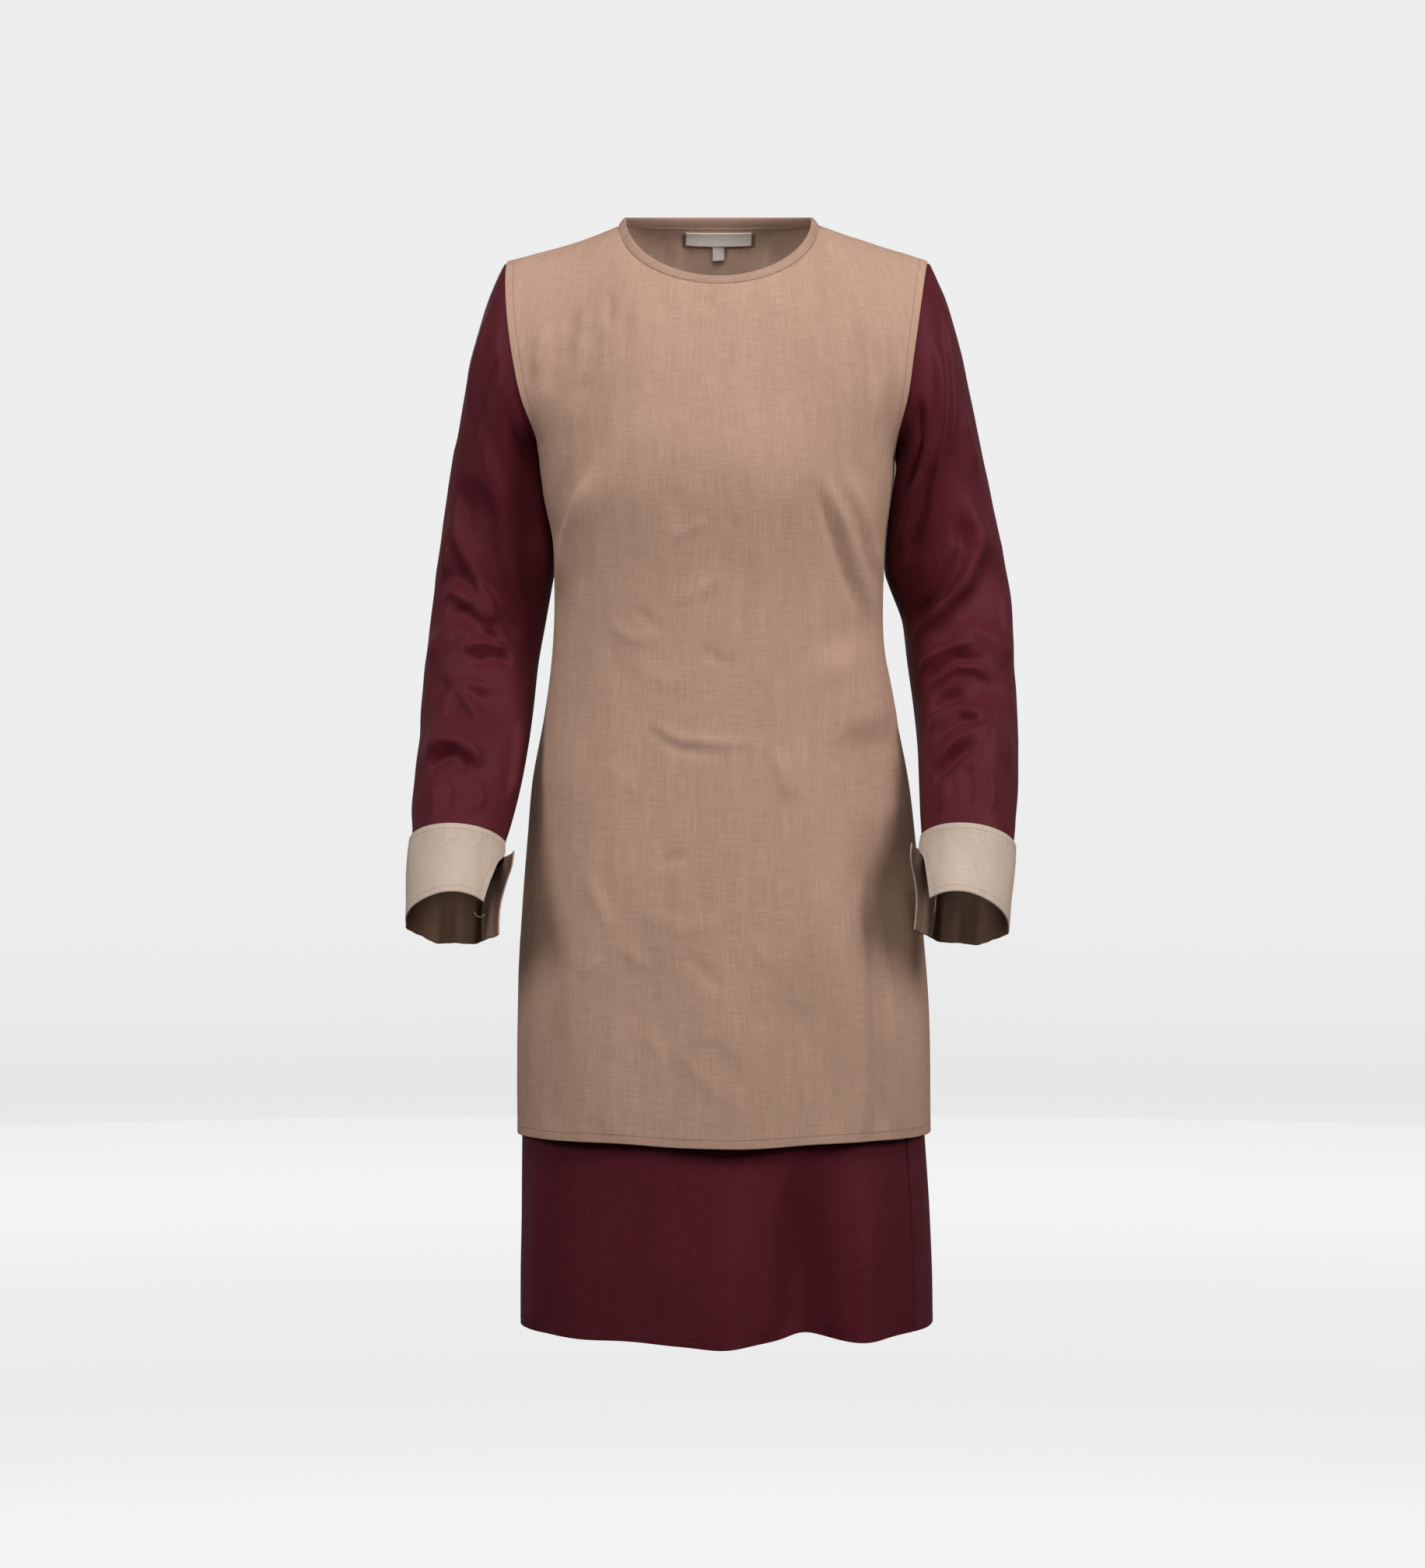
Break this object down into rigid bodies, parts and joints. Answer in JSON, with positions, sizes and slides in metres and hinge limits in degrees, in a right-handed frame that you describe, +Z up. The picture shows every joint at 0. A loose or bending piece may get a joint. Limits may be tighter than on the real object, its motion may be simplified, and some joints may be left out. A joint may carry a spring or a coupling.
{
  "type": "abaya tunic dress",
  "caption": "Layered abaya tunic dress in its worn, filled-out form with no wearer: sleeveless sand over-layer, long burgundy sleeves, light cuffs and a burgundy skirt below the hem.",
  "frame": {"origin": "middle of the neck opening at shoulder height, where the wearer holds the garment", "axes": "+Z up along the garment's length, front faces -Y, +X to the right of a person looking at the front"},
  "size_m": [0.5698, 0.2941, 1.0633],
  "materials": {
    "sand_linen": "plain-weave linen, matt",
    "sand_binding": "bias-cut linen binding, matt",
    "burgundy_satin": "matt satin weave",
    "pale_linen": "plain-weave linen, undyed",
    "blank_label": "woven tape, blank"
  },
  "bodies": {
    "root": {"over_front": "sand_linen", "over_back": "sand_linen", "neck_binding": "sand_binding", "underskirt_front": "burgundy_satin", "underskirt_back": "burgundy_satin", "sleeve_left": "burgundy_satin", "sleeve_right": "burgundy_satin", "cuff_left": "pale_linen", "cuff_right": "pale_linen", "neck_label": "blank_label", "size_tab": "blank_label"}
  },
  "joints": []
}
